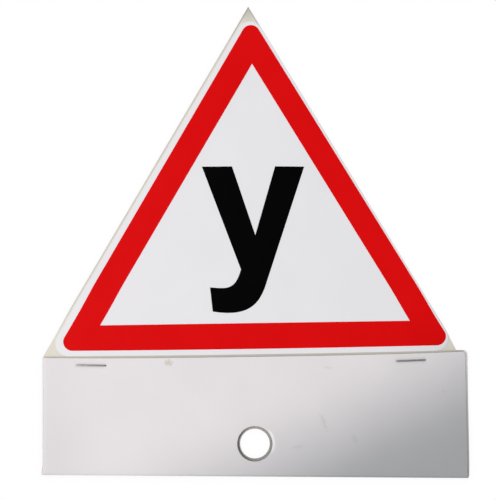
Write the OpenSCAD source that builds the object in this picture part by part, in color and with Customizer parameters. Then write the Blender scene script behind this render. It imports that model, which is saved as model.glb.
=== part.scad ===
// Learner driver sticker on its backing sheet, stapled into a folded header card.
// It lies on its back: X to the right, Y up the sign, Z out of the printed face.
// The origin is on the axis of the hang hole, on the outside of the back leaf.

/* [Printed sign] */
// Base of the red triangle, measured between its sharp corners
sign_w = 169.1; // [150:0.1:176]
// Height of the red triangle, measured between its sharp corners
sign_h = 140.7; // [125:0.1:160]
// Rounding of the red triangle's outer corners
sign_r = 3.9; // [1:0.1:8]
// How far the sign sits to the right of the hang hole
sign_x = 0.7; // [-1.5:0.05:1.5]
// How far the tip of the red triangle leans to the right
sign_lean = 0.45; // [-1:0.05:1]
// Width of the red band along the left side
band_left = 10.6; // [6:0.1:14]
// Width of the red band along the right side
band_right = 10.1; // [6:0.1:14]
// Width of the red band along the base
band_base = 10.8; // [6:0.1:14]
// Thickness of the printed layer
print_t = 0.04; // [0.03:0.01:0.1]

/* [Sticker film] */
// White margin of the film on the left side of the red triangle
film_left = 2.3; // [0.8:0.05:3]
// White margin of the film on the right side
film_right = 0.75; // [0.8:0.05:3]
// White margin of the film along the base
film_base = 2.3; // [0.8:0.05:3]
// Thickness of the film
film_t = 0.12; // [0.08:0.01:0.3]
// Gap between the film's lower edge and the upper corners of the card
film_clear = 0.05; // [0.05:0.05:3]
// How far the tips of the film and the backing sheet lean to the right
tip_lean = 1.4; // [-1.5:0.05:1.5]

/* [Backing sheet] */
// Border that the backing sheet leaves on the left side of the film
liner_left = 1.05; // [0.1:0.05:2]
// Border that the backing sheet leaves on the right side of the film
liner_right = 0.1; // [0.1:0.05:2]
// How far the backing sheet is tucked into the card
liner_tuck = 7; // [6.5:0.1:9]
// Rounding of the lower left corner of the backing sheet
liner_r_left = 5.6; // [5:0.1:8]
// Rounding of the lower right corner of the backing sheet
liner_r_right = 4; // [3.5:0.1:8]
// Thickness of the backing sheet
liner_t = 0.15; // [0.08:0.01:0.3]

/* [Header card] */
// Width of the front leaf along its top edge
card_w = 179.2; // [179:0.1:200]
// Height of the folded card in the middle of its width
card_h = 51.9; // [45:0.1:70]
// Thickness of the board
board_t = 0.4; // [0.3:0.05:0.6]
// How far the fold runs out of square, dropping to the right
fold_skew = 1.28; // [-1.5:0.02:1.5]
// Outside radius of the fold
fold_r = 1.1; // [0.8:0.05:1.5]
// Length over which the front leaf comes down from the fold to the backing sheet
spring_l = 42; // [30:0.5:42]
// How much further out the left side is at the fold than at the top
side_flare = 0.4; // [0:0.1:1.5]
// How far the squeezed fold stands out at the lower left corner
fold_ear = 0.7; // [0:0.1:1]
// Height of that squeezed stretch
ear_h = 4; // [2:0.5:6]
// How far the top edge of the front leaf dips in the middle
edge_bow = 1.15; // [0:0.05:1.5]
// Rounding of the front leaf's upper right corner
corner_r = 0.9; // [0.3:0.1:2]
// How far the back leaf shows past the front leaf on the right
back_side = 1; // [0:0.1:2]
// How far the back leaf shows past the front leaf at the top
back_top = 0.4; // [0.1:0.1:1.5]

/* [Hang hole] */
// Radius of the hole in the front leaf
hole_front_r = 7.3; // [6.5:0.05:9]
// Radius of the hole in the back leaf
hole_back_r = 6.25; // [4:0.05:6.4]
// Height of the hole's centre above the fold
hole_up = 14; // [11:0.1:16]

/* [Staples] */
// Width of a staple over its legs
staple_w = 12.9; // [10:0.1:14]
// Width of the flattened wire
wire_w = 0.8; // [0.5:0.05:0.9]
// Thickness of the flattened wire
wire_t = 0.5; // [0.35:0.05:0.6]
// Outside radius of the wire's bends
bend_r = 0.8; // [0.7:0.05:1]
// Length of each clinched leg along the back
clinch_l = 4.9; // [3:0.1:5.5]
// Depth that the crown is pressed into the front leaf
crown_sink = 0.12; // [0:0.01:0.2]
// Depth that the clinched legs are pressed into the back leaf
clinch_sink = 0.18; // [0:0.01:0.22]
// Distance from the top of the card down to the staples
staple_down = 3.7; // [2:0.1:5]
// Distance from the left side of the card to the middle of the left staple
staple_left_in = 20.8; // [12:0.1:40]
// Distance from the right side of the card to the middle of the right staple
staple_right_in = 23; // [12:0.1:40]
// Turn of the left staple
staple_left_turn = -1.6; // [-4:0.1:4]
// Turn of the right staple
staple_right_turn = 1.3; // [-4:0.1:4]
// Clearance round the wire in the board and the backing sheet
wire_clear = 0.03; // [0.02:0.01:0.08]

/* [Hidden] */

// Points on each rounded corner, and on each long curve
ARC_STEPS = 12;
CURVE_STEPS = 32;
CIRCLE_FN = 96;
// Length by which a cutting shape runs past what it cuts
over = 5;
// Power of the curve of the top edge, which is flat in the middle and bends near its ends
BOW_POWER = 3;

// Heights of the layers
z_liner = board_t;
z_film = z_liner + liner_t;
z_print = z_film + film_t;
z_front = z_liner + liner_t;
z_front_top = z_front + board_t;

// Places along Y and X, from the hang hole
card_top = card_h - hole_up;
front_x = card_w / 2;
sign_base = card_top + film_clear + film_base;
sign_half_angle = atan(sign_w / 2 / sign_h);
staple_y = card_top - staple_down;
staple_left_x = -front_x + staple_left_in;
staple_right_x = front_x - staple_right_in;

// Height of the fold line at a place across the card
function fold_y(x) = -hole_up - x * tan(fold_skew);

// Dip of the front leaf's top edge at a place across the card
function top_y(x) = card_top - edge_bow * (1 - pow(abs(x) / front_x, BOW_POWER));

function unit(v) = v / norm(v);

// Points round one corner p of an outline that runs anticlockwise
function corner(before, p, after, r) =
    r == 0 ? [p] :
    let (
        u = unit(before - p),
        v = unit(after - p),
        half = acos(u * v) / 2,
        centre = p + unit(u + v) * r / sin(half),
        start = p + u * r / tan(half) - centre,
        first = atan2(start.y, start.x),
        sweep = 180 - 2 * half
    )
    [for (i = [0 : ARC_STEPS])
        let (a = first + sweep * i / ARC_STEPS)
        centre + r * [cos(a), sin(a)]];

// An outline with each corner rounded by its own radius
function rounded(points, radii) =
    let (n = len(points))
    [for (i = [0 : n - 1])
        each corner(points[(i + n - 1) % n], points[i], points[(i + 1) % n], radii[i])];

// Corners of the sign's triangle, with its left and right sides moved out by a margin
// each, its base at a given height and its tip leaning to the right
function triangle(left, right, base, lean) =
    let (
        middle = sign_x + (right - left) / 2 / cos(sign_half_angle),
        apex = sign_base + sign_h + (left + right) / 2 / sin(sign_half_angle),
        half = (apex - base) * tan(sign_half_angle)
    )
    [[middle - half - lean / 2, base],
     [middle + half - lean / 2, base],
     [middle + lean / 2, apex]];

function rectangle(w, low, high) =
    [[-w / 2, low], [w / 2, low], [w / 2, high], [-w / 2, high]];

// Height of the front leaf's underside at a distance from the fold
function leaf_z(d) =
    let (
        t = min(1, max(0, (d - fold_r) / spring_l)),
        start = 2 * fold_r - board_t
    )
    z_front + (start - z_front) * (1 + cos(180 * t)) / 2;

// Side view of the board from the fold up to a given reach
module fold_section(reach) {
    difference() {
        translate([fold_r, fold_r]) circle(r = fold_r, $fn = CIRCLE_FN);
        translate([fold_r, fold_r]) circle(r = fold_r - board_t, $fn = CIRCLE_FN);
        translate([fold_r, -over]) square([2 * fold_r, 2 * fold_r + 2 * over]);
    }
    polygon(concat(
        [for (i = [0 : CURVE_STEPS])
            let (d = fold_r + spring_l * i / CURVE_STEPS)
            [d, leaf_z(d)]],
        [[reach, z_front], [reach, z_front_top]],
        [for (i = [CURVE_STEPS : -1 : 0])
            let (d = fold_r + spring_l * i / CURVE_STEPS)
            [d, leaf_z(d) + board_t]]
    ));
    translate([fold_r, 0]) square([spring_l / 2, board_t]);
}

// Lays a side view along the fold line
module along_fold() {
    translate([0, -hole_up, 0])
        rotate([0, 0, -fold_skew])
            rotate([90, 0, 90])
                linear_extrude(height = card_w + 4 * over, center = true)
                    children();
}

// Outline of the front leaf, with its dipped top edge
module front_outline() {
    left_top = [-front_x, card_top];
    left_low = left_top - [side_flare, 0];
    right_low = [front_x, fold_y(front_x) - over];
    right_top = [front_x, card_top];
    top_edge = [for (i = [1 : CURVE_STEPS - 1])
        let (x = front_x * (1 - 2 * i / CURVE_STEPS))
        [x, top_y(x)]];
    polygon(concat(
        [[left_low.x - fold_ear, fold_y(left_low.x) - over],
         right_low],
        corner(right_low, right_top, top_edge[0], corner_r),
        top_edge,
        [left_top,
         [left_low.x, fold_y(left_low.x) + ear_h],
         [left_low.x - fold_ear, fold_y(left_low.x)]]
    ));
}

// Outline of the back leaf, which reaches past the front leaf at the top and right
module back_outline() {
    left = -front_x;
    right = front_x + back_side;
    top = card_top + back_top;
    polygon([
        [left - side_flare, fold_y(left) - over],
        [right, fold_y(right) - over],
        [right, top],
        [left, top],
        [left - side_flare, fold_y(left)]
    ]);
}

// One staple's outline in the X-Z plane, closed up by e where it is a clearance
module staple_outline(e) {
    low = clinch_sink - wire_t;
    high = z_front_top - crown_sink + wire_t;
    outer_r = bend_r + e;
    inner_r = max(bend_r - wire_t - e, 0.05);
    tip = staple_w / 2 - clinch_l - e;
    difference() {
        polygon(rounded(rectangle(staple_w + 2 * e, low - e, high + e),
                        [outer_r, outer_r, outer_r, outer_r]));
        polygon(rounded(rectangle(staple_w - 2 * wire_t - 2 * e,
                                  low + wire_t + e, high - wire_t - e),
                        [inner_r, inner_r, inner_r, inner_r]));
        polygon([[-tip, low - over], [tip, low - over],
                 [tip + wire_t / 2, low + wire_t + e], [-tip - wire_t / 2, low + wire_t + e]]);
    }
}

// One staple at its place, or with e above 0 the room that it needs
module staple(x, turn, e = 0) {
    translate([x, staple_y, 0])
        rotate([0, 0, turn])
            rotate([90, 0, 0])
                linear_extrude(height = wire_w + 2 * e, center = true)
                    staple_outline(e);
}

module staple_room() {
    staple(staple_left_x, staple_left_turn, wire_clear);
    staple(staple_right_x, staple_right_turn, wire_clear);
}

module header_card() {
    reach = card_h + 4 * over;
    color("whitesmoke")
        difference() {
            union() {
                intersection() {
                    along_fold() fold_section(reach);
                    translate([0, 0, -over])
                        linear_extrude(height = 2 * over + 2 * fold_r) front_outline();
                }
                intersection() {
                    along_fold()
                        translate([fold_r, 0]) square([reach - fold_r, board_t]);
                    translate([0, 0, -over])
                        linear_extrude(height = 2 * over) back_outline();
                }
            }
            translate([0, 0, -over])
                cylinder(h = 2 * over, r = hole_back_r, $fn = CIRCLE_FN);
            translate([0, 0, board_t + liner_t / 2])
                cylinder(h = over, r = hole_front_r, $fn = CIRCLE_FN);
            staple_room();
        }
}

module backing_sheet() {
    corners = triangle(film_left + liner_left, film_right + liner_right,
                       card_top - liner_tuck, tip_lean);
    color("cornsilk")
        difference() {
            translate([0, 0, z_liner])
                linear_extrude(height = liner_t)
                    polygon(rounded(corners, [liner_r_left, liner_r_right, 0]));
            staple_room();
        }
}

module sticker_film() {
    corners = triangle(film_left, film_right, sign_base - film_base, tip_lean);
    film_r = sign_r + (film_left + film_right) / 2;
    color("white")
        translate([0, 0, z_film])
            linear_extrude(height = film_t)
                polygon(rounded(corners, [film_r, film_r, film_r]));
}

module border_print() {
    outside = triangle(0, 0, sign_base, sign_lean);
    inside = triangle(-band_left, -band_right, sign_base + band_base, sign_lean);
    color("red")
        translate([0, 0, z_print])
            linear_extrude(height = print_t)
                difference() {
                    polygon(rounded(outside, [sign_r, sign_r, sign_r]));
                    polygon(inside);
                }
}

module staple_left() {
    color("silver") staple(staple_left_x, staple_left_turn);
}

module staple_right() {
    color("silver") staple(staple_right_x, staple_right_turn);
}

header_card();
backing_sheet();
sticker_film();
border_print();
staple_left();
staple_right();
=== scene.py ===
"""Learner driver sticker pack.

A printed triangle of film on its backing sheet is stapled into a folded header card. The pack lies
on its back on a pale floor. Every length is in metres, in the frame of the CAD model. The hang
hole is at the origin and the tip of the triangle points along +Y.
"""

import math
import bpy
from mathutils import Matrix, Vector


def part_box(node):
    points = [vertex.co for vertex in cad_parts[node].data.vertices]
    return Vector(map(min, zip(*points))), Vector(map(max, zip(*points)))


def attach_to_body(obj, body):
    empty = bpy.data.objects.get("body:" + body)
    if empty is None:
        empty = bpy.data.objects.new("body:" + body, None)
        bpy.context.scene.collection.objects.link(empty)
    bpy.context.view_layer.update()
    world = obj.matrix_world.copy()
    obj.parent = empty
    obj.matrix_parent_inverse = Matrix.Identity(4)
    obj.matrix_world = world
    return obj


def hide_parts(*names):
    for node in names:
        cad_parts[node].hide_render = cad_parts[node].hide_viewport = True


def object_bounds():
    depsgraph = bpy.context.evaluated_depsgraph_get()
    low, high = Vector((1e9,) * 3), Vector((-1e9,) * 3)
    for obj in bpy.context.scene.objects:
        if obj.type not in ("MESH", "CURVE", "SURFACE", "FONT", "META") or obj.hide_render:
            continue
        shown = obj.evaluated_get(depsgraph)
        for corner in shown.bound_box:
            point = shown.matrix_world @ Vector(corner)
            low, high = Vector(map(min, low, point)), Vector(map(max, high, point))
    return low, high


bl_info = {
    "name": "Learner Driver Sticker Pack",
    "version": (1, 0, 0),
    "blender": (4, 5, 0),
    "location": "View3D > Sidebar > Sticker Pack",
    "description": "Builds a learner driver sticker that is stapled into a folded header card",
    "category": "Add Mesh",
}

import bmesh
import bpy
from bpy.props import FloatProperty, FloatVectorProperty, PointerProperty
from mathutils import Vector
from mathutils.geometry import interpolate_bezier
from mathutils.kdtree import KDTree

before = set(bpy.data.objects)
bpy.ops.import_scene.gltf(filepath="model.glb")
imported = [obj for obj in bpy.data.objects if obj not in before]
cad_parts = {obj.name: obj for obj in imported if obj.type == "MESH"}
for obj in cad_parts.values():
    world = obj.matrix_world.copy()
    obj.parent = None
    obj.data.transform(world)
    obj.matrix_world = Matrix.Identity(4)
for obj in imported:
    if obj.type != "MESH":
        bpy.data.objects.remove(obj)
CAD_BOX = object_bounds()

MM = 0.001
BODY = "root"
KEY_PLACE = Vector((-855.0, 95.0, 1400.0)) * MM
KEY_AIM = Vector((-464.0, 755.0, 0.0)) * MM
PICTURE_MIDDLE = Vector((-1.69, 82.03, 0.0)) * MM

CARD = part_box("header_card")
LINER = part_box("backing_sheet")
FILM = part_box("sticker_film")
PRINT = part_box("border_print")
STAPLE_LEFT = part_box("staple_left")
STAPLE_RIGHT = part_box("staple_right")


def length(name, description, default):
    """A length property, given in millimetres."""
    return FloatProperty(name=name, description=description, default=default * MM,
                         min=0.0, precision=5, unit="LENGTH")


def angle(name, description, default):
    """An angle property, given in degrees."""
    return FloatProperty(name=name, description=description, default=math.radians(default),
                         subtype="ANGLE")


def share(name, description, default):
    """A number from 0 to 1."""
    return FloatProperty(name=name, description=description, default=default, min=0.0, max=1.0)


def colour(name, description, default):
    """A linear colour property."""
    return FloatVectorProperty(name=name, description=description, default=default,
                               subtype="COLOR", size=3, min=0.0, max=1.0)


class StickerCardSettings(bpy.types.PropertyGroup):
    """Sizes and colours of the folded header card."""

    board_t: length("Board", "Thickness of the board", 0.4)
    fold_r: length("Fold radius", "Outside radius of the fold", 1.1)
    fold_skew: angle("Fold skew", "How far the fold runs out of square", 1.28)
    hole_up: length("Hole height", "Height of the hang hole above the fold", 13.9)
    spring_l: length("Spring", "Length over which the front leaf comes down from the fold", 42)
    hole_front_r: length("Front hole", "Radius of the hole in the front leaf", 7.3)
    hole_back_r: length("Back hole", "Radius of the hole in the back leaf", 6.25)
    back_side: length("Back leaf, side", "How far the back leaf shows on the right", 1)
    back_top: length("Back leaf, top", "How far the back leaf shows at the top", 0.4)
    side_flare: length("Flare", "How much further out the left side is at the fold", 0.6)
    fold_ear: length("Ear", "How far the squeezed fold stands out at the lower left", 0.7)
    ear_h: length("Ear height", "Height of that squeezed stretch", 4)
    front_shift: length("Front leaf", "How far the front leaf sits to the right", 0.28)
    edge_bow: length("Edge bow", "Dip of the front leaf's top edge in the middle", 0.92)
    corner_r: length("Corner", "Rounding of the upper right corner of both leaves", 1.8)
    tab_lift: length("Lift", "How far the front leaf stands up between the staples", 0.3)
    edge_round: length("Cut edge", "Rounding of the cut edges", 0.05)
    cut_slant: length("Cut slant", "How far the cut edges slant in towards the outside", 0.22)
    outside: colour("Outside", "Coated white side of the board", (0.800, 0.770, 0.785))
    inside: colour("Inside", "Grey side of the board", (0.450, 0.430, 0.410))
    core: colour("Core", "Cut edges of the board", (0.400, 0.370, 0.325))


class StickerSheetSettings(bpy.types.PropertyGroup):
    """Sizes and colours of the backing sheet, the film and the print."""

    sheet_round: length("Cut edge", "Rounding of the edges of the paper and the film", 0.025)
    print_round: length("Ink edge", "Rounding of the edges of the print", 0.012)
    tip_dark_length: length("Dark tip", "Length of the darker tip of the backing sheet", 9)
    liner: colour("Backing sheet", "Release paper", (0.768, 0.728, 0.645))
    film: colour("Film", "White film", (0.828, 0.824, 0.850))
    red: colour("Border", "Red ink", (0.720, 0.0035, 0.0040))
    black: colour("Letter", "Black ink", (0.0006, 0.0006, 0.0006))


class StickerStapleSettings(bpy.types.PropertyGroup):
    """Sizes and colour of the two staples."""

    width: length("Width", "Width over the legs", 12.9)
    wire_w: length("Wire width", "Width of the flattened wire", 0.8)
    wire_t: length("Wire thickness", "Thickness of the flattened wire", 0.5)
    wire_round: length("Wire edge", "Rounding of the wire's edges", 0.14)
    bend_r: length("Bend", "Outside radius of the bends", 0.8)
    clinch: length("Clinch", "Length of each leg along the back", 4.9)
    turn_left: angle("Left turn", "Turn of the left staple", -1.6)
    turn_right: angle("Right turn", "Turn of the right staple", 1.3)
    dent_reach: length("Dent", "How far the dent in the board spreads round the wire", 0.9)
    steel: colour("Wire", "Bright steel", (0.340, 0.338, 0.345))


class StickerStageSettings(bpy.types.PropertyGroup):
    """Camera, lamps and floor."""

    camera_h: length("Camera height", "Height of the camera above the pack", 900)
    view_h: length("View height", "Height of the floor that the picture takes in", 211.75)
    camera_turn: angle("Camera turn", "Turn of the camera round its axis", -0.863)
    key_power: FloatProperty(name="Key lamp", description="Power of the key lamp",
                             default=65.3, min=0.0, unit="POWER")
    key_r: length("Key size", "Radius of the key lamp", 12)
    key_cone: angle("Key cone", "Full angle of the key lamp's cone", 65.9)
    key_blend: share("Key blend", "Share of the cone over which it fades out", 0.10)
    key_tint: colour("Key tint", "Colour of the key lamp", (1.000, 0.935, 0.926))
    zenith: colour("Overhead", "Light from straight above", (0.120, 0.124, 0.128))
    horizon: colour("Horizon", "Light from all round", (0.928, 0.991, 1.000))
    horizon_level: FloatProperty(name="Horizon level", default=1.132, min=0.0,
                                 description="Strength of the light from all round")
    contact: share("Contact shadow", "Depth of the shadow where the pack meets the floor", 0.10)


SETTINGS = {
    "sticker_card": StickerCardSettings,
    "sticker_sheets": StickerSheetSettings,
    "sticker_staples": StickerStapleSettings,
    "sticker_stage": StickerStageSettings,
}


def socket_named(sockets, identifier):
    """The socket with this identifier, where several share a name."""
    return next(socket for socket in sockets if socket.identifier == identifier)


class MaterialNodes:
    """A new material, with short calls for the nodes that its pattern needs."""

    def __init__(self, name):
        self.material = bpy.data.materials.new(name)
        self.material.use_nodes = True
        self.tree = self.material.node_tree
        self.shader = self.tree.nodes["Principled BSDF"]
        self.place = self.add("ShaderNodeTexCoord").outputs["Object"]

    def add(self, kind, **values):
        """A new node, with some of its settings."""
        node = self.tree.nodes.new(kind)
        for key, value in values.items():
            setattr(node, key, value)
        return node

    def plug(self, value, socket):
        """Links an output to a socket, or sets the socket to a plain value."""
        if isinstance(value, bpy.types.NodeSocket):
            self.tree.links.new(value, socket)
        else:
            socket.default_value = value

    def scaled(self, scale, centre=(0.0, 0.0, 0.0)):
        """Object coordinates, measured from a centre and scaled along each axis."""
        node = self.add("ShaderNodeMapping")
        self.plug(self.place, node.inputs["Vector"])
        node.inputs["Scale"].default_value = scale
        node.inputs["Location"].default_value = [-s * c for s, c in zip(scale, centre)]
        return node.outputs["Vector"]

    def noise(self, scale, detail=2.0, vector=None):
        """Cloudy noise round 0.5, with a scale for each metre unless a vector is given."""
        node = self.add("ShaderNodeTexNoise")
        self.plug(self.place if vector is None else vector, node.inputs["Vector"])
        node.inputs["Scale"].default_value = scale
        node.inputs["Detail"].default_value = detail
        return node.outputs["Fac"]

    def span(self, value, low, high, out_low=0.0, out_high=1.0, smooth=False):
        """Maps a value from one range to another, held at the ends."""
        node = self.add("ShaderNodeMapRange", clamp=True,
                        interpolation_type="SMOOTHSTEP" if smooth else "LINEAR")
        for socket, number in zip(node.inputs[:5], (value, low, high, out_low, out_high)):
            self.plug(number, socket)
        return node.outputs["Result"]

    def calculate(self, operation, first, second=0.0):
        """A sum, product or other operation on two values."""
        node = self.add("ShaderNodeMath", operation=operation)
        self.plug(first, node.inputs[0])
        self.plug(second, node.inputs[1])
        return node.outputs[0]

    def blend(self, factor, first, second):
        """A colour between two others."""
        node = self.add("ShaderNodeMix", data_type="RGBA")
        self.plug(factor, node.inputs["Factor"])
        for value, name in ((first, "A_Color"), (second, "B_Color")):
            if not isinstance(value, bpy.types.NodeSocket):
                value = (*value, 1.0)
            self.plug(value, socket_named(node.inputs, name))
        return socket_named(node.outputs, "Result_Color")

    def distance(self, centre, size):
        """Distance from a centre, as a share of a size along each axis."""
        node = self.add("ShaderNodeVectorMath", operation="LENGTH")
        self.plug(self.scaled([1 / s for s in size], centre), node.inputs[0])
        return node.outputs["Value"]

    def mark(self, x, y, half_length, half_width, turn=0.0):
        """A soft and slightly ragged spot or stroke on the front leaf: 1 in its middle, 0 outside.

        Its place and half sizes are in mm and its turn in degrees.
        """
        node = self.add("ShaderNodeMapping", vector_type="TEXTURE")
        self.plug(self.place, node.inputs["Vector"])
        node.inputs["Location"].default_value = (x * MM, y * MM, 0.0)
        node.inputs["Rotation"].default_value = (0.0, 0.0, math.radians(turn))
        node.inputs["Scale"].default_value = (half_length * MM, half_width * MM, 1.0)
        away = self.add("ShaderNodeVectorMath", operation="LENGTH")
        self.plug(node.outputs["Vector"], away.inputs[0])
        uneven = self.span(self.noise(900.0), 0.3, 0.7, -0.3, 0.3)
        ragged = self.calculate("ADD", away.outputs["Value"], uneven)
        height = self.add("ShaderNodeSeparateXYZ")
        self.plug(self.place, height.inputs[0])
        on_front = self.span(height.outputs["Z"], 0.3 * MM, 0.5 * MM)
        spot = self.span(ragged, 0.3, 1.0, 1.0, 0.0, smooth=True)
        return self.calculate("MULTIPLY", on_front, spot)

    def from_line(self, across, offset=0.0):
        """Signed distance from a line that passes this offset below the origin.

        across is the unit direction at right angles to the line.
        """
        node = self.add("ShaderNodeVectorMath", operation="DOT_PRODUCT")
        self.plug(self.place, node.inputs[0])
        node.inputs[1].default_value = (*across, 0.0)
        return self.calculate("ADD", node.outputs["Value"], offset * across[1])

    def bump(self, height, depth, normal=None):
        """A surface normal from a height of 0 to 1 that stands for a depth in metres."""
        node = self.add("ShaderNodeBump")
        self.plug(height, node.inputs["Height"])
        node.inputs["Distance"].default_value = depth
        if normal is not None:
            self.plug(normal, node.inputs["Normal"])
        return node.outputs["Normal"]

    def finish(self, base=None, roughness=None, normal=None, **constants):
        """Feeds the shader and returns the material."""
        for value, name in ((base, "Base Color"), (roughness, "Roughness"), (normal, "Normal")):
            if value is not None:
                if name == "Base Color" and not isinstance(value, bpy.types.NodeSocket):
                    value = (*value, 1.0)
                self.plug(value, self.shader.inputs[name])
        for name, value in constants.items():
            self.shader.inputs[name.replace("_", " ")].default_value = value
        return self.material


ALONG_X = (1.0, 0.0)
ALONG_Y = (0.0, 1.0)


def scaled_colour(base, factor):
    """A colour made darker or lighter by a factor."""
    return [min(1.0, part * factor) for part in base]


def board_outside(card):
    """Coated white board: fine fibres under a satin coat, with the marks of its handling, painted
    shade at the lower left and along the fold, and a painted highlight beside the hang hole.
    """
    m = MaterialNodes("coated_board")
    clouds = m.span(m.noise(45.0, 3.0), 0.3, 0.7)
    fibres = m.span(m.noise(1.0, 3.0, vector=m.scaled((900.0, 2600.0, 900.0))), 0.35, 0.65)
    base = m.blend(clouds, scaled_colour(card.outside, 0.985), scaled_colour(card.outside, 1.015))
    base = m.blend(m.calculate("MULTIPLY", fibres, 0.12), base, scaled_colour(card.outside, 0.93))
    from_middle = m.from_line(ALONG_X)

    # painted shade at the lower left, and a yellow stain near the top edge
    left_side = m.span(from_middle, -88.0 * MM, -60.0 * MM, 1.0, 0.0, smooth=True)
    lower = m.span(m.from_line(ALONG_Y), 0.0, 32.0 * MM, 1.0, 0.3)
    # painted shade: the lower left of the front leaf made greyer
    tint = m.calculate("MULTIPLY", left_side, lower)
    base = m.blend(tint, base, scaled_colour(card.outside, 0.91))
    stain = m.calculate("MULTIPLY", m.mark(-36.1, 34.8, 2.2, 2.0), 0.65)
    base = m.blend(stain, base, (0.590, 0.530, 0.430))

    # grey scuffs, each with its place, half sizes, turn and strength
    for x, y, half_length, half_width, turn, strength in (
            (29.1, 9.1, 4.6, 1.1, -69.0, 0.17), (42.1, 1.4, 2.8, 1.6, -70.0, 0.10),
            (18.2, -1.5, 3.2, 1.2, 8.0, 0.13), (31.4, 31.8, 2.3, 0.9, -15.0, 0.12),
            (80.1, 21.0, 1.4, 1.0, 0.0, 0.08)):
        stroke = m.mark(x, y, half_length, half_width, turn)
        base = m.blend(m.calculate("MULTIPLY", stroke, strength), base, (0.300, 0.290, 0.290))

    # a painted highlight along the right of the hang hole, where its edge would catch the lamp
    right_of_hole = m.distance((8.3 * MM, 1.0 * MM, 1.0 * MM), (6.2 * MM, 6.2 * MM, 1.0))
    by_hole = m.distance((0.0, 0.0, 0.0), (8.6 * MM, 8.6 * MM, 1.0))
    hole_highlight = m.calculate("MULTIPLY", m.span(right_of_hole, 0.5, 1.0, 1.0, 0.0, smooth=True),
                      m.span(by_hole, 0.98, 1.02, 1.0, 0.0, smooth=True))
    base = m.blend(hole_highlight, base, (0.960, 0.950, 0.945))

    # the fold, darker grey towards the right: painted shade on the underside of the fold
    from_fold = m.from_line((math.sin(card.fold_skew), math.cos(card.fold_skew)), card.hole_up)
    crease = m.span(from_fold, 0.30 * MM, 1.10 * MM, 1.0, 0.0, smooth=True)
    fold_shade = m.calculate("MULTIPLY", crease, m.span(from_middle, -60.0 * MM, 40.0 * MM, 0.0, 0.48))
    base = m.blend(fold_shade, base, (0.350, 0.340, 0.335))
    roughness = m.span(clouds, 0.0, 1.0, 0.48, 0.60)
    normal = m.bump(fibres, 0.006 * MM)
    normal = m.bump(m.noise(130.0), 0.030 * MM, normal)
    return m.finish(base, roughness, normal, Specular_IOR_Level=0.30)


def board_inside(card):
    """Grey recycled board: fibres and darker specks, with painted light as a pale margin at the
    right side.
    """
    m = MaterialNodes("grey_board")
    fibres = m.span(m.noise(1.0, 4.0, vector=m.scaled((700.0, 1900.0, 700.0))), 0.3, 0.7)
    specks = m.span(m.noise(1400.0, 1.0), 0.66, 0.74)
    base = m.blend(fibres, scaled_colour(card.inside, 0.85), scaled_colour(card.inside, 1.15))
    base = m.blend(m.calculate("MULTIPLY", specks, 0.6), base, scaled_colour(card.inside, 0.45))
    # painted light: a paler margin at the right, standing in for light that the front leaf's shadow
    # keeps off
    margin = m.span(m.from_line(ALONG_X), 88.4 * MM, 89.4 * MM)
    base = m.blend(margin, base, (0.860, 0.830, 0.800))
    return m.finish(base, 0.9, m.bump(fibres, 0.02 * MM), Specular_IOR_Level=0.2)


def board_core(card):
    """Cut edge of the board: pale and dark plies, slightly torn."""
    m = MaterialNodes("board_core")
    plies = m.span(m.noise(1.0, 2.0, vector=m.scaled((300.0, 300.0, 9000.0))), 0.3, 0.7)
    base = m.blend(plies, scaled_colour(card.core, 0.8), scaled_colour(card.core, 1.15))
    return m.finish(base, 0.85, m.bump(plies, 0.02 * MM), Specular_IOR_Level=0.2)


# directions at right angles to the backing sheet's two long rims
LEFT_RIM = (-0.854, 0.521)
RIGHT_RIM = (0.857, 0.515)


def release_paper(sheets):
    """Cream backing paper, with painted shade beside the card, darker along its rims and towards
    its tip.
    """
    m = MaterialNodes("release_paper")
    clouds = m.span(m.noise(60.0, 3.0), 0.3, 0.7)
    fibres = m.span(m.noise(1.0, 3.0, vector=m.scaled((1100.0, 2400.0, 1100.0))), 0.35, 0.65)
    base = m.blend(clouds, scaled_colour(sheets.liner, 0.97), scaled_colour(sheets.liner, 1.03))
    base = m.blend(m.calculate("MULTIPLY", fibres, 0.15), base, scaled_colour(sheets.liner, 0.90))
    # painted shade on the paper beside the card's top edge
    shade_by_card = m.span(m.from_line(ALONG_Y), 37.9 * MM, 38.6 * MM, 0.9, 0.0, smooth=True)
    base = m.blend(shade_by_card, base, scaled_colour(sheets.liner, 0.70))
    tip = (0.0, LINER[1].y, 0.0)
    # darker towards the tip
    from_tip = m.distance(tip, (sheets.tip_dark_length, sheets.tip_dark_length, 1.0))
    darker_tip = m.span(from_tip, 0.1, 1.0, 0.75, 0.0, smooth=True)
    base = m.blend(darker_tip, base, (0.480, 0.490, 0.400))
    near_tip = m.span(m.distance(tip, (1.0, 1.0, 1.0)), 6.0 * MM, 18.0 * MM, 0.70, 0.32)
    for direction in (LEFT_RIM, RIGHT_RIM):
        rim = m.span(m.from_line(direction, -LINER[1].y), -0.75 * MM, -0.25 * MM, smooth=True)
        base = m.blend(m.calculate("MULTIPLY", rim, near_tip), base, (0.330, 0.315, 0.315))
    roughness = m.span(clouds, 0.0, 1.0, 0.38, 0.50)
    return m.finish(base, roughness, m.bump(fibres, 0.006 * MM), Specular_IOR_Level=0.35)


def printed_surface(name, base, spread, roughness, specular):
    """Film or ink: a smooth skin with a faint orange peel and a faint cloudiness of colour."""
    m = MaterialNodes(name)
    clouds = m.span(m.noise(55.0, 3.0), 0.3, 0.7)
    peel = m.noise(1500.0)
    tone = m.blend(clouds, scaled_colour(base, 1.0 - spread), scaled_colour(base, 1.0 + spread))
    uneven = m.span(clouds, 0.0, 1.0, roughness - 0.04, roughness + 0.04)
    normal = m.bump(peel, 0.0012 * MM)
    normal = m.bump(m.noise(90.0, 1.0), 0.02 * MM, normal)
    return m.finish(tone, uneven, normal, Specular_IOR_Level=specular)


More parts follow.
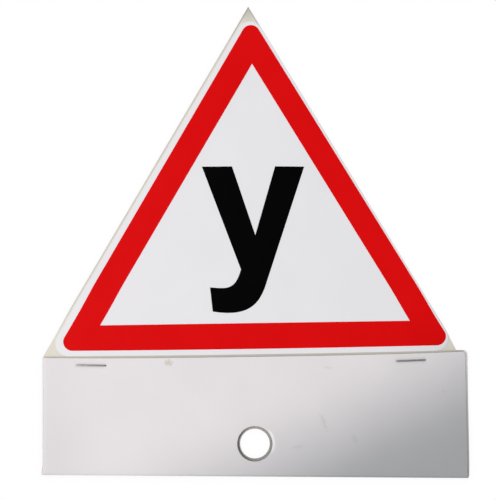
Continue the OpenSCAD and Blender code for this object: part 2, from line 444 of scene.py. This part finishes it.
def staple_steel(staples):
    """Drawn steel wire with fine lines along it and a few duller patches."""
    m = MaterialNodes("staple_steel")
    lines = m.noise(1.0, 2.0, vector=m.scaled((500.0, 9000.0, 9000.0)))
    patches = m.span(m.noise(700.0), 0.4, 0.7)
    base = m.blend(patches, scaled_colour(staples.steel, 1.08), scaled_colour(staples.steel, 0.80))
    roughness = m.span(lines, 0.3, 0.7, 0.46, 0.62)
    return m.finish(base, roughness, m.bump(lines, 0.006 * MM), Metallic=1.0)


def show(name, mesh, materials, level=False):
    """Puts a mesh into the scene as an object at the origin, smooth between its sharp edges.

    A level sheet keeps its upper and lower faces flat.
    """
    for material in materials:
        mesh.materials.append(material)
    mesh.shade_smooth()
    mesh.set_sharp_from_angle(angle=math.radians(40))
    if level:
        for face in mesh.polygons:
            face.use_smooth = abs(face.normal.z) < 0.99
    piece = bpy.data.objects.new(name, mesh)
    bpy.context.scene.collection.objects.link(piece)
    return piece


def attach(piece, slot, *nodes):
    """Lets a piece ride with the pack and hides the CAD nodes that it replaces."""
    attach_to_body(piece, BODY)
    if nodes:
        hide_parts(*nodes)


def grid_lines(start, stops):
    """Places along an axis: each stop gives a place and the spacing of the lines up to it."""
    lines = [start]
    for place, spacing in stops:
        begin = lines[-1]
        count = max(1, round((place - begin) / spacing))
        lines += [begin + (place - begin) * i / count for i in range(1, count)] + [place]
    return lines


def ease(t):
    """0 up to 0 and 1 from 1, with a smooth step between."""
    t = min(1.0, max(0.0, t))
    return t * t * (3.0 - 2.0 * t)


class StapleMark:
    """Where one staple sits, and how deep its wire presses into the board."""

    def __init__(self, box, turn, staples):
        self.centre = (box[0] + box[1]) / 2
        self.along = Vector((math.cos(turn), math.sin(turn)))
        self.staples = staples

    def depth(self, x, y, inner, outer):
        """Share of the full dent at a point, for a wire from inner to outer on both sides."""
        offset = Vector((x - self.centre.x, y - self.centre.y))
        run = abs(offset.dot(self.along))
        across = abs(offset.cross(self.along))
        gap_run = max(0.0, inner - run, run - outer)
        gap_across = max(0.0, across - self.staples.wire_w / 2)
        return 1.0 - ease(math.hypot(gap_run, gap_across) / self.staples.dent_reach)


def middle_x(box):
    """The middle of a box along X."""
    return (box[0].x + box[1].x) / 2


class FoldedBoard:
    """Places on the middle surface of the folded board."""

    def __init__(self, card):
        self.card = card
        self.skew_sin = math.sin(card.fold_skew)
        self.skew_cos = math.cos(card.fold_skew)
        self.half_w = CARD[1].x - card.back_side
        self.front_top = CARD[1].y - card.back_top
        self.flat = LINER[1].z
        self.mid_r = card.fold_r - card.board_t / 2
        self.taper = 9.0 * MM
        self.curl_w, self.curl_end = 2.0 * MM, 8.0 * MM
        self.lift_from = 12.0 * MM
        self.held_by_staple, self.free_beyond = 7.0 * MM, 21.0 * MM

    def from_fold(self, x, y):
        """Distance of a point from the lower edge of the fold."""
        return (y + self.card.hole_up) * self.skew_cos + x * self.skew_sin

    def fold_y(self, x, distance=0.0):
        """Height at which a point is at this distance from the fold's lower edge."""
        return (distance - x * self.skew_sin) / self.skew_cos - self.card.hole_up

    def top_y(self, leaf, x):
        """Top edge: straight on the back leaf, and bowed down in the middle of the front leaf."""
        if leaf == "back":
            return CARD[1].y
        return self.front_top - self.card.edge_bow * max(0.0, 1.0 - abs(x / self.half_w) ** 3)

    def left_x(self, leaf, y):
        """Left side at a height: it flares towards the fold, with a squeezed ear at the front."""
        card = self.card
        low = self.fold_y(-self.half_w)
        x = -self.half_w - card.side_flare * (self.front_top - y) / (self.front_top - low)
        if leaf == "back":
            return x + 2 * card.front_shift
        ear = min(1.0, max(0.0, 1.0 - (y - low) / card.ear_h))
        return x + card.front_shift - card.fold_ear * ear

    def right_x(self, leaf, turn=0.0):
        """Right side: through the fold it goes from the back leaf's to that of the front leaf."""
        back, front = self.card.back_side, self.card.front_shift
        to_front = 1.0 if leaf == "front" else turn / math.pi
        return self.half_w + back + (front - back) * to_front

    def height(self, leaf, x, y):
        """Height of the middle surface of one leaf.

        The back leaf is flat but for its right margin, which curls up to the front leaf.
        """
        card = self.card
        if leaf == "back":
            near_front = self.height("front", x, y) - card.board_t
            curl = ease((x - self.half_w) / self.curl_w + 1.0)
            curl *= ease(self.from_fold(x, y) / self.curl_end)
            return card.board_t / 2 + (near_front - card.board_t / 2) * curl
        t = min(1.0, max(0.0, (self.from_fold(x, y) - card.fold_r) / card.spring_l))
        start = 2 * card.fold_r - card.board_t
        z = self.flat + (start - self.flat) * (1.0 + math.cos(math.pi * t)) / 2
        return z + card.board_t / 2 + self.lift(x, y)

    def lift(self, x, y):
        """How far the top edge of the front leaf stands up, between the staples and beside them."""
        left, right = middle_x(STAPLE_LEFT), middle_x(STAPLE_RIGHT)
        near_edge = ease((y - self.lift_from) / (self.front_top - self.lift_from))
        if left < x < right:
            shape = math.sin(math.pi * (x - left) / (right - left)) ** 2
        else:
            away = max(left - x, x - right) - self.held_by_staple
            shape = 0.5 * ease(away / (self.free_beyond - self.held_by_staple))
        return self.card.tab_lift * near_edge * shape

    def fitted(self, leaf, x, y, turn=0.0):
        """Moves a grid point of a leaf out to the real sides and round the upper right corner."""
        left_gap = self.left_x(leaf, y) + self.half_w
        right_gap = self.right_x(leaf, turn) - self.half_w
        inner = self.half_w - self.taper
        if x < -inner:
            x += left_gap * (-inner - x) / self.taper
        if x > inner:
            x += right_gap * (x - inner) / self.taper
        if leaf != "fold":
            r = self.card.corner_r
            u = (x - self.right_x(leaf) + r) / r
            v = (y - self.top_y(leaf, x) + r) / r
            if u > 0 and v > 0:
                x += r * u * (math.sqrt(1.0 - v * v / 2) - 1.0)
                y += r * v * (math.sqrt(1.0 - u * u / 2) - 1.0)
        return x, y

    def leaf_point(self, leaf, x, share_up):
        """A point of a leaf, at a share of the way from the fold to its top edge."""
        low = self.fold_y(x, self.card.fold_r)
        y = low + (self.top_y(leaf, x) - low) * share_up
        x, y = self.fitted(leaf, x, y)
        return Vector((x, y, self.height(leaf, x, y)))

    def fold_point(self, x, turn):
        """A point of the fold, from its back at turn 0 to its front at turn pi."""
        distance = self.card.fold_r - self.mid_r * math.sin(turn)
        x, y = self.fitted("fold", x, self.fold_y(x, distance), turn)
        return Vector((x, y, self.card.fold_r - self.mid_r * math.cos(turn)))


def ring_to_circle(bm, board, leaf, loop, radius, steps):
    """Fills from a closed loop of vertices in to a round hole with rings of faces."""
    outer = loop
    for step in range(1, steps + 1):
        t = step / steps
        inner = []
        for v in loop:
            flat = Vector((v.co.x, v.co.y))
            flat = flat.lerp(flat.normalized() * radius, t)
            inner.append(bm.verts.new((flat.x, flat.y, board.height(leaf, flat.x, flat.y))))
        for i, v in enumerate(outer):
            j = (i + 1) % len(outer)
            bm.faces.new((v, outer[j], inner[j], inner[i]))
        outer = inner


def middle_surface(card):
    """The folded board as one open surface that faces outwards, with both holes in it."""
    board = FoldedBoard(card)
    # half the square of faces round each hole, and half the fine stretch round each staple
    block, block_step = 10.5 * MM, 0.875 * MM
    near, fine = 8.2 * MM, 0.45 * MM
    left, right = middle_x(STAPLE_LEFT), middle_x(STAPLE_RIGHT)
    across = grid_lines(-board.half_w, [
        (left - near, 2.0 * MM), (left + near, fine), (-block, 3.0 * MM), (block, block_step),
        (right - near, 3.0 * MM), (right + near, fine),
        (board.half_w - card.corner_r, 2.0 * MM), (board.half_w, card.corner_r / 5),
    ])
    low = board.fold_y(0.0, card.fold_r)
    staple_y = STAPLE_LEFT[0].y / 2 + STAPLE_LEFT[1].y / 2
    upward = grid_lines(low, [
        (-block, 0.9 * MM), (block, block_step), (staple_y - 2.2 * MM, 2.0 * MM),
        (staple_y + 1.8 * MM, 0.25 * MM), (board.front_top - card.corner_r, 0.3 * MM),
        (board.front_top, card.corner_r / 5),
    ])
    shares = [(y - low) / (board.front_top - low) for y in upward]
    fold_steps = 14
    turns = [math.pi * i / fold_steps for i in range(1, fold_steps)]
    rows = [("back", s) for s in reversed(shares)]
    rows += [("fold", turn) for turn in turns]
    rows += [("front", s) for s in shares]

    bm = bmesh.new()
    first, last = across.index(-block), across.index(block)
    holes = {}
    for leaf, radius in (("back", card.hole_back_r), ("front", card.hole_front_r)):
        inside = [i for i, (kind, share_up) in enumerate(rows) if kind == leaf
                  and abs(low + share_up * (board.front_top - low)) <= block + 1e-9]
        holes[leaf] = (inside[0], inside[-1], radius)

    def in_hole(i, j, margin):
        """Whether a grid point is in a block, this many steps in from its sides."""
        return any(a + margin <= i <= b - margin and first + margin <= j <= last - margin
                   for a, b, _ in holes.values())

    grid = []
    for i, (kind, value) in enumerate(rows):
        line = []
        for j, x in enumerate(across):
            if in_hole(i, j, 1):
                line.append(None)
                continue
            if kind == "fold":
                point = board.fold_point(x, value)
            else:
                point = board.leaf_point(kind, x, value)
            line.append(bm.verts.new(point))
        grid.append(line)
    for i in range(len(rows) - 1):
        for j in range(len(across) - 1):
            corners = (grid[i][j], grid[i][j + 1], grid[i + 1][j + 1], grid[i + 1][j])
            if None not in corners and not (in_hole(i, j, 0) and in_hole(i + 1, j + 1, 0)):
                bm.faces.new(corners)
    for leaf, (a, b, radius) in holes.items():
        loop = [grid[a][j] for j in range(first, last)]
        loop += [grid[i][last] for i in range(a, b)]
        loop += [grid[b][j] for j in range(last, first, -1)]
        loop += [grid[i][first] for i in range(b, a, -1)]
        ring_to_circle(bm, board, leaf, loop, radius, 5)
    bm.normal_update()
    return bm


def inward_directions(sheet):
    """For each vertex on the border of an open surface, the direction into the surface."""
    inward = {}
    for edge in sheet.edges:
        if len(edge.link_loops) == 1:
            loop = edge.link_loops[0]
            a, b = loop.vert, loop.link_loop_next.vert
            across = loop.face.normal.cross(b.co - a.co).normalized()
            for v in (a, b):
                inward[v] = inward.get(v, Vector()) + across
    return {v: direction.normalized() for v, direction in inward.items()}


def thickened(sheet, thickness, dent, slant):
    """A closed solid from an open surface, whose cut edges slant in towards its outside.

    Faces of material 0 are outside, 1 inside and 2 cut edges.
    """
    inward = inward_directions(sheet)
    border = list(inward)
    tree = KDTree(len(border))
    for i, v in enumerate(border):
        tree.insert(v.co, i)
    tree.balance()
    reach = 4 * slant
    solid = bmesh.new()
    outer, inner = {}, {}
    for v in sheet.verts:
        half = v.normal * thickness / 2
        _, nearest, gap = tree.find(v.co)
        pull = inward[border[nearest]] * slant * max(0.0, 1.0 - gap / reach)
        outer[v] = solid.verts.new(v.co + half + pull - v.normal * dent(v.co, v.normal))
        inner[v] = solid.verts.new(v.co - half)
    for face in sheet.faces:
        solid.faces.new([outer[v] for v in face.verts]).material_index = 0
        solid.faces.new([inner[v] for v in reversed(face.verts)]).material_index = 1
    for edge in sheet.edges:
        if len(edge.link_loops) == 1:
            loop = edge.link_loops[0]
            a, b = loop.vert, loop.link_loop_next.vert
            solid.faces.new((outer[b], outer[a], inner[a], inner[b])).material_index = 2
    solid.normal_update()
    return solid


def rounded_edges(bm, radius, limit=50.0, segments=2):
    """Rounds every edge that is sharper than a limit in degrees."""
    sharp = [e for e in bm.edges
             if len(e.link_faces) == 2 and e.calc_face_angle(0.0) > math.radians(limit)]
    bmesh.ops.bevel(bm, geom=sharp, offset=radius, offset_type="OFFSET", segments=segments,
                    profile=0.5, affect="EDGES", clamp_overlap=True, loop_slide=True)


def mesh_of(bm, name):
    """A mesh from a bmesh, which is freed."""
    mesh = bpy.data.meshes.new(name)
    bm.to_mesh(mesh)
    bm.free()
    return mesh


def across_cuts():
    """Planes that cut a sheet where its sides and its lower edge bend."""
    cuts = [((0.0, (43.0 + 3.0 * step) * MM, 0.0), (0.0, 1.0, 0.0)) for step in range(10)]
    return cuts + [(((step - 3.0) * 20.0 * MM, 0.0, 0.0), (1.0, 0.0, 0.0)) for step in range(7)]


def sheet_from_node(node, name, radius, left_in, right_in):
    """A copy of a flat CAD node with its cut edges rounded and its lower corners drawn in.

    left_in and right_in say how far a side comes in, at which height that starts and where it is
    complete, all in mm. The lower edge sags a little in the middle and rises at its ends.
    """
    bm = bmesh.new()
    bm.from_mesh(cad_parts[node].data)
    bmesh.ops.remove_doubles(bm, verts=bm.verts, dist=0.0005 * MM)
    for place, normal in across_cuts():
        bmesh.ops.bisect_plane(bm, geom=bm.verts[:] + bm.edges[:] + bm.faces[:],
                               plane_co=place, plane_no=normal)
    low = min(v.co.y for v in bm.verts)
    half_w = 80.0 * MM
    sag, rise = 0.15 * MM, 0.21 * MM
    edge_h, fade_h = 2.0 * MM, 8.0 * MM
    for v in bm.verts:
        depth, start, end = (value * MM for value in (left_in if v.co.x < 0 else right_in))
        away = v.co.x / half_w
        v.co.x -= away * depth * ease((start - v.co.y) / (start - end))
        near_low_edge = ease((low + edge_h + fade_h - v.co.y) / fade_h)
        v.co.y += ((rise + sag) * away * away - sag) * near_low_edge
    bmesh.ops.recalc_face_normals(bm, faces=bm.faces)
    rounded_edges(bm, radius)
    bmesh.ops.triangulate(bm, faces=bm.faces)
    return mesh_of(bm, name)


class STICKERPACK_OT_stage(bpy.types.Operator):
    """Set up the floor, the lamps, the surroundings and the camera"""

    bl_idname = "stickerpack.stage"
    bl_label = "Stage"

    def execute(self, context):
        stage = context.scene.sticker_stage
        context.scene.view_settings.view_transform = "Standard"
        self.add_floor(stage)
        self.add_key(stage)
        self.add_surroundings(stage)
        self.add_camera(context, stage)
        return {"FINISHED"}

    def add_floor(self, stage):
        """A wide white floor under the lowest point, shown white with a faint contact shadow."""
        bm = bmesh.new()
        bmesh.ops.create_grid(bm, x_segments=1, y_segments=1, size=6.0)
        bmesh.ops.translate(bm, verts=bm.verts, vec=(0.0, 0.0, CAD_BOX[0].z))
        m = MaterialNodes("floor_white")
        m.finish((0.8, 0.8, 0.8), 0.9, Specular_IOR_Level=0.0)
        occlusion = m.add("ShaderNodeAmbientOcclusion", samples=8)
        occlusion.inputs["Distance"].default_value = 4.0 * MM
        level = m.span(occlusion.outputs["AO"], 0.0, 1.0, 1.0 - stage.contact, 1.0)
        glow = m.add("ShaderNodeEmission")
        m.plug(level, glow.inputs["Strength"])
        path = m.add("ShaderNodeLightPath")
        seen = m.calculate("ADD", path.outputs["Is Camera Ray"], path.outputs["Is Glossy Ray"])
        seen = m.calculate("ADD", seen, path.outputs["Is Transmission Ray"])
        seen = m.calculate("MINIMUM", seen, 1.0)
        mix = m.add("ShaderNodeMixShader")
        m.plug(seen, mix.inputs[0])
        m.plug(m.shader.outputs[0], mix.inputs[1])
        m.plug(glow.outputs[0], mix.inputs[2])
        m.plug(mix.outputs[0], m.tree.nodes["Material Output"].inputs["Surface"])
        floor = show("floor", mesh_of(bm, "floor"), [m.material])

    def add_key(self, stage):
        """One soft lamp from the upper left, whose edge falls across the lower right corner."""
        lamp = bpy.data.lights.new("key", "SPOT")
        lamp.energy = stage.key_power
        lamp.color = stage.key_tint
        lamp.shadow_soft_size = stage.key_r
        lamp.spot_size = stage.key_cone
        lamp.spot_blend = stage.key_blend
        key = bpy.data.objects.new("key", lamp)
        key.location = KEY_PLACE
        key.rotation_mode = "QUATERNION"
        key.rotation_quaternion = (KEY_AIM - KEY_PLACE).to_track_quat("-Z", "Y")
        bpy.context.scene.collection.objects.link(key)

    def add_surroundings(self, stage):
        """A pale world that is bright all round and dim straight above."""
        world = bpy.data.worlds.new("surroundings")
        world.use_nodes = True
        nodes, links = world.node_tree.nodes, world.node_tree.links
        background = nodes["Background"]
        direction = nodes.new("ShaderNodeTexCoord")
        split = nodes.new("ShaderNodeSeparateXYZ")
        links.new(direction.outputs["Generated"], split.inputs[0])
        rise = nodes.new("ShaderNodeMapRange")
        links.new(split.outputs["Z"], rise.inputs["Value"])
        mix = nodes.new("ShaderNodeMix")
        mix.data_type = "RGBA"
        links.new(rise.outputs["Result"], mix.inputs["Factor"])
        horizon = [part * stage.horizon_level for part in stage.horizon]
        for name, value in (("A_Color", horizon), ("B_Color", stage.zenith)):
            socket_named(mix.inputs, name).default_value = (*value, 1.0)
        links.new(socket_named(mix.outputs, "Result_Color"), background.inputs["Color"])
        bpy.context.scene.world = world

    def add_camera(self, context, stage):
        """A camera straight above the middle of the picture."""
        lens = bpy.data.cameras.new("camera")
        lens.sensor_width = 36.0
        lens.lens = lens.sensor_width * stage.camera_h / stage.view_h
        camera = bpy.data.objects.new("camera", lens)
        camera.location = PICTURE_MIDDLE + Vector((0.0, 0.0, FILM[1].z + stage.camera_h))
        camera.rotation_euler = (0.0, 0.0, stage.camera_turn)
        lens.clip_end = 10.0
        context.scene.collection.objects.link(camera)
        context.scene.camera = camera


class STICKERPACK_OT_header_card(bpy.types.Operator):
    """Build the folded header card with its hang hole and the dents of its staples"""

    bl_idname = "stickerpack.header_card"
    bl_label = "Header Card"

    def execute(self, context):
        card = context.scene.sticker_card
        staples = context.scene.sticker_staples
        marks = [StapleMark(STAPLE_LEFT, staples.turn_left, staples),
                 StapleMark(STAPLE_RIGHT, staples.turn_right, staples)]
        outer = staples.width / 2
        inner = outer - staples.clinch
        front_z = LINER[1].z + card.board_t
        crown_sink = front_z - (STAPLE_LEFT[1].z - staples.wire_t)
        clinch_sink = STAPLE_LEFT[0].z + staples.wire_t

        def dent(place, normal):
            """Depth of the dents at a place: the crowns' on the front, the legs' on the back."""
            if abs(normal.z) < 0.9:
                return 0.0
            sink, start = (crown_sink, 0.0) if normal.z > 0 else (clinch_sink, inner)
            return sink * max(mark.depth(place.x, place.y, start, outer) for mark in marks)

        sheet = middle_surface(card)
        solid = thickened(sheet, card.board_t, dent, card.cut_slant)
        sheet.free()
        rounded_edges(solid, card.edge_round)
        materials = [board_outside(card), board_inside(card), board_core(card)]
        piece = show("folded_card", mesh_of(solid, "folded_card"), materials)
        attach(piece, "white_board", "header_card")
        return {"FINISHED"}


class STICKERPACK_OT_backing_sheet(bpy.types.Operator):
    """Build the backing sheet of release paper"""

    bl_idname = "stickerpack.backing_sheet"
    bl_label = "Backing Sheet"

    def execute(self, context):
        sheets = context.scene.sticker_sheets
        mesh = sheet_from_node("backing_sheet", "release_sheet", sheets.sheet_round,
                               (0.50, 60.0, 44.0), (1.00, 48.0, 38.0))
        piece = show("release_sheet", mesh, [release_paper(sheets)], level=True)
        attach(piece, "release_paper", "backing_sheet")
        return {"FINISHED"}


class STICKERPACK_OT_film(bpy.types.Operator):
    """Build the white film of the sticker"""

    bl_idname = "stickerpack.film"
    bl_label = "Sticker Film"

    def execute(self, context):
        sheets = context.scene.sticker_sheets
        mesh = sheet_from_node("sticker_film", "white_triangle", sheets.sheet_round,
                               (0.50, 64.0, 48.0), (0.15, 60.0, 46.0))
        finish = printed_surface("white_film", sheets.film, 0.008, 0.38, 0.30)
        piece = show("white_triangle", mesh, [finish], level=True)
        attach(piece, "white_film", "sticker_film")
        return {"FINISHED"}


class STICKERPACK_OT_border(bpy.types.Operator):
    """Build the red border print"""

    bl_idname = "stickerpack.border"
    bl_label = "Red Border"

    def execute(self, context):
        sheets = context.scene.sticker_sheets
        mesh = sheet_from_node("border_print", "red_border", sheets.print_round,
                               (0.50, 70.0, 56.0), (0.45, 66.0, 52.0))
        finish = printed_surface("red_ink", sheets.red, 0.02, 0.36, 0.04)
        piece = show("red_border", mesh, [finish], level=True)
        attach(piece, "red_ink", "border_print")
        return {"FINISHED"}


class STICKERPACK_OT_letter(bpy.types.Operator):
    """Build the black letter of the learner sign"""

    bl_idname = "stickerpack.letter"
    bl_label = "Letter"

    def execute(self, context):
        sheets = context.scene.sticker_sheets
        bm = bmesh.new()
        bottom = PRINT[0].z
        top = PRINT[1].z
        outline = [bm.verts.new((x, y, bottom)) for x, y in self.outline()]
        face = bm.faces.new(outline)
        bmesh.ops.extrude_face_region(bm, geom=[face], use_keep_orig=True)
        for v in set(bm.verts) - set(outline):
            v.co.z = top
        bmesh.ops.recalc_face_normals(bm, faces=bm.faces)
        rounded_edges(bm, sheets.print_round, limit=80.0)
        bmesh.ops.triangulate(bm, faces=bm.faces)
        finish = printed_surface("black_ink", sheets.black, 0.0, 0.42, 0.03)
        piece = show("black_letter", mesh_of(bm, "black_letter"), [finish], level=True)
        attach(piece, "black_ink")
        return {"FINISHED"}

    def outline(self):
        """The letter's outline: two slanted arms and a tail that bends to the left."""
        outer_bend = ((6.26, 69.07), (3.3, 59.37), (-1.16, 53.4), (-17.0, 56.16))
        inner_bend = ((-18.0, 66.43), (-11.0, 65.83), (-7.36, 64.9), (-4.8, 73.84))
        points = [(-20.7, 117.63), (-7.94, 117.53), (1.5, 88.3), (10.3, 117.3), (22.64, 117.0)]
        for bend in (outer_bend, inner_bend):
            curve = interpolate_bezier(*[Vector((x, y, 0.0)) for x, y in bend], 16)
            points += [(p.x, p.y) for p in curve]
        return [(x * MM, y * MM) for x, y in reversed(points)]


def corner_points(fillet, count):
    """Sets a fillet node to plain points, this many for each corner."""
    fillet.mode = "POLY"
    fillet.inputs["Count"].default_value = count


def group_input(tree, name, kind, default=None):
    """Adds a named input to a node group and gives its identifier."""
    socket = tree.interface.new_socket(name, in_out="INPUT", socket_type="NodeSocket" + kind)
    if default is not None:
        socket.default_value = default
    return socket.identifier


def staple_nodes(staples, height):
    """The node group that puts a staple of bent wire at each point, and its input sockets."""
    tree = bpy.data.node_groups.new("Staples", "GeometryNodeTree")
    points = group_input(tree, "Points", "Geometry")
    sockets = {name: group_input(tree, name, "Float", value) for name, value in (
        ("Half Width", (staples.width - staples.wire_t) / 2),
        ("Height", height),
        ("Clinch", staples.clinch - staples.wire_t / 2),
        ("Wire Width", staples.wire_w),
        ("Wire Thickness", staples.wire_t),
        ("Wire Rounding", staples.wire_round),
        ("Bend", staples.bend_r - staples.wire_t / 2),
    )}
    sockets["Material"] = group_input(tree, "Material", "Material")
    sockets["Points"] = points
    tree.interface.new_socket("Geometry", in_out="OUTPUT", socket_type="NodeSocketGeometry")
    given = tree.nodes.new("NodeGroupInput")
    result = tree.nodes.new("NodeGroupOutput")

    def add(kind, inputs=(), **values):
        node = tree.nodes.new(kind)
        for key, value in values.items():
            setattr(node, key, value)
        for name, value in dict(inputs).items():
            socket = node.inputs[name]
            if isinstance(value, bpy.types.NodeSocket):
                tree.links.new(value, socket)
            else:
                socket.default_value = value
        return node

    def calculate(operation, first, second=0.0):
        return add("ShaderNodeMath", {0: first, 1: second}, operation=operation).outputs[0]

    # six places along the wire: two tips, two lower bends and the two ends of the crown
    value = given.outputs
    count = 6
    number = add("GeometryNodeInputIndex").outputs[0]
    offset = calculate("SUBTRACT", number, (count - 1) / 2)
    side = calculate("SIGN", offset)
    reach = calculate("ABSOLUTE", offset)
    is_tip = calculate("GREATER_THAN", reach, 2.0)
    is_crown = calculate("LESS_THAN", reach, 1.0)
    inward = calculate("MULTIPLY", is_tip, value["Clinch"])
    x = calculate("MULTIPLY", side, calculate("SUBTRACT", value["Half Width"], inward))
    z = calculate("MULTIPLY", is_crown, value["Height"])
    place = add("ShaderNodeCombineXYZ", {"X": x, "Z": z})
    line = add("GeometryNodeMeshLine", {"Count": count})
    bent = add("GeometryNodeSetPosition",
               {"Geometry": line.outputs[0], "Position": place.outputs[0]})
    path = add("GeometryNodeMeshToCurve", {"Mesh": bent.outputs[0]})
    bends = add("GeometryNodeFilletCurve",
                {"Curve": path.outputs[0], "Radius": value["Bend"], "Limit Radius": True})
    corner_points(bends, 8)
    section = add("GeometryNodeCurvePrimitiveQuadrilateral",
                  {"Width": value["Wire Width"], "Height": value["Wire Thickness"]})
    section_round = add("GeometryNodeFilletCurve",
                        {"Curve": section.outputs[0], "Radius": value["Wire Rounding"],
                         "Limit Radius": True})
    corner_points(section_round, 4)
    wire = add("GeometryNodeCurveToMesh",
               {"Curve": bends.outputs[0], "Profile Curve": section_round.outputs[0],
                "Fill Caps": True})
    turn = add("GeometryNodeInputNamedAttribute", {"Name": "turn"}, data_type="FLOAT")
    rotation = add("ShaderNodeCombineXYZ", {"Z": turn.outputs[0]})
    placed = add("GeometryNodeInstanceOnPoints",
                 {"Points": value["Points"], "Instance": wire.outputs[0],
                  "Rotation": rotation.outputs[0]})
    real = add("GeometryNodeRealizeInstances", {"Geometry": placed.outputs[0]})
    finish = add("GeometryNodeSetMaterial",
                 {"Geometry": real.outputs[0], "Material": value["Material"]})
    tree.links.new(finish.outputs[0], result.inputs[0])
    return tree, sockets


class STICKERPACK_OT_staples(bpy.types.Operator):
    """Build the two staples from one node group"""

    bl_idname = "stickerpack.staples"
    bl_label = "Staples"

    def execute(self, context):
        staples = context.scene.sticker_staples
        low = STAPLE_LEFT[0].z + staples.wire_t / 2
        high = STAPLE_LEFT[1].z - staples.wire_t / 2
        mesh = bpy.data.meshes.new("staple_points")
        boxes = (STAPLE_LEFT, STAPLE_RIGHT)
        centres = [(box[0] + box[1]) / 2 for box in boxes]
        mesh.from_pydata([(c.x, c.y, low) for c in centres], [], [])
        turn = mesh.attributes.new("turn", "FLOAT", "POINT")
        turn.data.foreach_set("value", [staples.turn_left, staples.turn_right])
        piece = bpy.data.objects.new("wire_staples", mesh)
        context.scene.collection.objects.link(piece)
        tree, sockets = staple_nodes(staples, high - low)
        modifier = piece.modifiers.new("Staples", "NODES")
        modifier.node_group = tree
        modifier[sockets["Material"]] = staple_steel(staples)
        self.settle(context, piece)
        attach(piece, "staple_wire", "staple_left", "staple_right")
        return {"FINISHED"}

    def settle(self, context, piece):
        """Turns what the node group makes into a plain mesh of the piece."""
        depsgraph = context.evaluated_depsgraph_get()
        built = piece.evaluated_get(depsgraph)
        mesh = bpy.data.meshes.new_from_object(built, depsgraph=depsgraph)
        piece.modifiers.clear()
        piece.data = mesh
        if not mesh.polygons:
            raise RuntimeError("the staples came out empty")
        bm = bmesh.new()
        bm.from_mesh(mesh)
        bmesh.ops.remove_doubles(bm, verts=bm.verts, dist=0.0005 * MM)
        bmesh.ops.recalc_face_normals(bm, faces=bm.faces)
        bm.to_mesh(mesh)
        bm.free()
        mesh.shade_smooth()
        mesh.set_sharp_from_angle(angle=math.radians(50))


class STICKERPACK_PT_panel(bpy.types.Panel):
    """Lists the pieces of the pack and their settings"""

    bl_idname = "STICKERPACK_PT_panel"
    bl_label = "Sticker Pack"
    bl_space_type = "VIEW_3D"
    bl_region_type = "UI"
    bl_category = "Sticker Pack"

    def draw(self, context):
        column = self.layout.column(align=True)
        for operator in OPERATORS:
            column.operator(operator.bl_idname)
        for name in SETTINGS:
            group = getattr(context.scene, name)
            box = self.layout.box()
            for field in group.__annotations__:
                box.prop(group, field)


OPERATORS = (
    STICKERPACK_OT_stage,
    STICKERPACK_OT_header_card,
    STICKERPACK_OT_backing_sheet,
    STICKERPACK_OT_film,
    STICKERPACK_OT_border,
    STICKERPACK_OT_letter,
    STICKERPACK_OT_staples,
)


def register():
    for cls in (*SETTINGS.values(), *OPERATORS, STICKERPACK_PT_panel):
        bpy.utils.register_class(cls)
    for name, group in SETTINGS.items():
        setattr(bpy.types.Scene, name, PointerProperty(type=group))


def unregister():
    for name in SETTINGS:
        delattr(bpy.types.Scene, name)
    for cls in reversed((*SETTINGS.values(), *OPERATORS, STICKERPACK_PT_panel)):
        bpy.utils.unregister_class(cls)


def main():
    """Build the pack and its stage."""
    register()
    bpy.ops.stickerpack.stage()
    bpy.ops.stickerpack.header_card()
    bpy.ops.stickerpack.backing_sheet()
    bpy.ops.stickerpack.film()
    bpy.ops.stickerpack.border()
    bpy.ops.stickerpack.letter()
    bpy.ops.stickerpack.staples()


if __name__ == "__main__":
    main()
